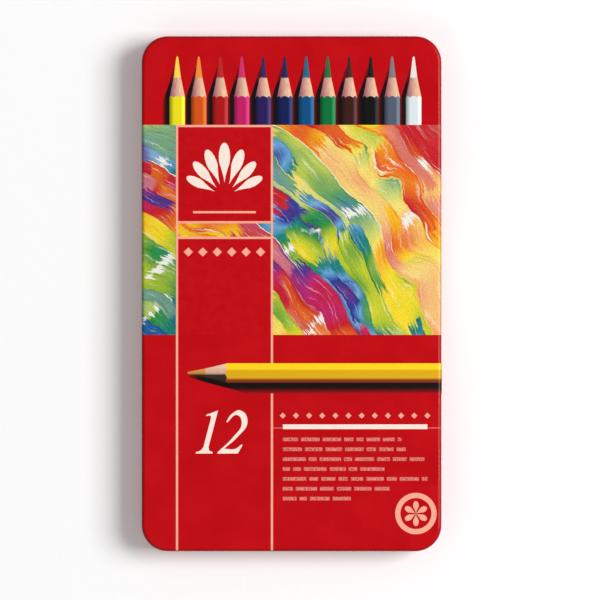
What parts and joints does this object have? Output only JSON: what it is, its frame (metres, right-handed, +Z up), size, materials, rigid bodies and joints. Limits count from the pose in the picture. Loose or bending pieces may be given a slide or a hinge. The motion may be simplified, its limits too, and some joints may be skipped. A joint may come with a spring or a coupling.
{
  "type": "watercolor pencil set",
  "caption": "Flat hinged metal tin with rounded corners and a printed lid, holding a row of sharpened hexagonal watercolor pencils in a grooved tray.",
  "frame": {"origin": "middle of the base tin's flat rest face", "axes": "+Z up through the lid, +Y along the pencils towards their points, +X towards the edge that opens"},
  "size_m": [0.11, 0.189, 0.013],
  "materials": {
    "red_tinplate": "gloss lacquer on tinplate, bare tin inside",
    "printed_tinplate": "printed and varnished tinplate, bare tin inside",
    "hinge_wire": "drawn steel wire",
    "tray_plastic": "satin moulded plastic",
    "cedar": "cut cedar",
    "yellow_lacquer": "gloss lacquer on cedar",
    "yellow_lead": "water-soluble pigment lead",
    "orange_lacquer": "gloss lacquer on cedar",
    "orange_lead": "water-soluble pigment lead",
    "red_lacquer": "gloss lacquer on cedar",
    "red_lead": "water-soluble pigment lead",
    "magenta_lacquer": "gloss lacquer on cedar",
    "magenta_lead": "water-soluble pigment lead",
    "violet_lacquer": "gloss lacquer on cedar",
    "violet_lead": "water-soluble pigment lead",
    "dark_blue_lacquer": "gloss lacquer on cedar",
    "dark_blue_lead": "water-soluble pigment lead",
    "blue_lacquer": "gloss lacquer on cedar",
    "blue_lead": "water-soluble pigment lead",
    "green_lacquer": "gloss lacquer on cedar",
    "green_lead": "water-soluble pigment lead",
    "brown_lacquer": "gloss lacquer on cedar",
    "brown_lead": "water-soluble pigment lead",
    "black_lacquer": "gloss lacquer on cedar",
    "black_lead": "water-soluble pigment lead",
    "grey_lacquer": "gloss lacquer on cedar",
    "grey_lead": "water-soluble pigment lead",
    "white_lacquer": "gloss lacquer on cedar",
    "white_lead": "water-soluble pigment lead"
  },
  "bodies": {
    "base": {"base_tin": "red_tinplate", "pencil_tray": "tray_plastic", "rear_hinge_pin": "hinge_wire", "front_hinge_pin": "hinge_wire"},
    "lid": {"lid_tin": "printed_tinplate"},
    "yellow_pencil": {"yellow_pencil_casing": "cedar", "yellow_pencil_lacquer": "yellow_lacquer", "yellow_pencil_lead": "yellow_lead"},
    "orange_pencil": {"orange_pencil_casing": "cedar", "orange_pencil_lacquer": "orange_lacquer", "orange_pencil_lead": "orange_lead"},
    "red_pencil": {"red_pencil_casing": "cedar", "red_pencil_lacquer": "red_lacquer", "red_pencil_lead": "red_lead"},
    "magenta_pencil": {"magenta_pencil_casing": "cedar", "magenta_pencil_lacquer": "magenta_lacquer", "magenta_pencil_lead": "magenta_lead"},
    "violet_pencil": {"violet_pencil_casing": "cedar", "violet_pencil_lacquer": "violet_lacquer", "violet_pencil_lead": "violet_lead"},
    "dark_blue_pencil": {"dark_blue_pencil_casing": "cedar", "dark_blue_pencil_lacquer": "dark_blue_lacquer", "dark_blue_pencil_lead": "dark_blue_lead"},
    "blue_pencil": {"blue_pencil_casing": "cedar", "blue_pencil_lacquer": "blue_lacquer", "blue_pencil_lead": "blue_lead"},
    "green_pencil": {"green_pencil_casing": "cedar", "green_pencil_lacquer": "green_lacquer", "green_pencil_lead": "green_lead"},
    "brown_pencil": {"brown_pencil_casing": "cedar", "brown_pencil_lacquer": "brown_lacquer", "brown_pencil_lead": "brown_lead"},
    "black_pencil": {"black_pencil_casing": "cedar", "black_pencil_lacquer": "black_lacquer", "black_pencil_lead": "black_lead"},
    "grey_pencil": {"grey_pencil_casing": "cedar", "grey_pencil_lacquer": "grey_lacquer", "grey_pencil_lead": "grey_lead"},
    "white_pencil": {"white_pencil_casing": "cedar", "white_pencil_lacquer": "white_lacquer", "white_pencil_lead": "white_lead"}
  },
  "joints": [
    {"name": "lid_hinge", "type": "hinge", "parent": "base", "child": "lid", "pos_m": [-0.05415, 0, 0.0054], "axis": [0, -1, 0], "range_deg": [0, 120]},
    {"name": "yellow_pencil_slide", "type": "slide", "parent": "base", "child": "yellow_pencil", "axis": [0, 1, 0], "range_m": [-0.0018, 0.0018]},
    {"name": "orange_pencil_slide", "type": "slide", "parent": "base", "child": "orange_pencil", "axis": [0, 1, 0], "range_m": [-0.0018, 0.0018]},
    {"name": "red_pencil_slide", "type": "slide", "parent": "base", "child": "red_pencil", "axis": [0, 1, 0], "range_m": [-0.0018, 0.0018]},
    {"name": "magenta_pencil_slide", "type": "slide", "parent": "base", "child": "magenta_pencil", "axis": [0, 1, 0], "range_m": [-0.0018, 0.0018]},
    {"name": "violet_pencil_slide", "type": "slide", "parent": "base", "child": "violet_pencil", "axis": [0, 1, 0], "range_m": [-0.0018, 0.0018]},
    {"name": "dark_blue_pencil_slide", "type": "slide", "parent": "base", "child": "dark_blue_pencil", "axis": [0, 1, 0], "range_m": [-0.0018, 0.0018]},
    {"name": "blue_pencil_slide", "type": "slide", "parent": "base", "child": "blue_pencil", "axis": [0, 1, 0], "range_m": [-0.0018, 0.0018]},
    {"name": "green_pencil_slide", "type": "slide", "parent": "base", "child": "green_pencil", "axis": [0, 1, 0], "range_m": [-0.0018, 0.0018]},
    {"name": "brown_pencil_slide", "type": "slide", "parent": "base", "child": "brown_pencil", "axis": [0, 1, 0], "range_m": [-0.0018, 0.0018]},
    {"name": "black_pencil_slide", "type": "slide", "parent": "base", "child": "black_pencil", "axis": [0, 1, 0], "range_m": [-0.0018, 0.0018]},
    {"name": "grey_pencil_slide", "type": "slide", "parent": "base", "child": "grey_pencil", "axis": [0, 1, 0], "range_m": [-0.0018, 0.0018]},
    {"name": "white_pencil_slide", "type": "slide", "parent": "base", "child": "white_pencil", "axis": [0, 1, 0], "range_m": [-0.0018, 0.0018]}
  ]
}
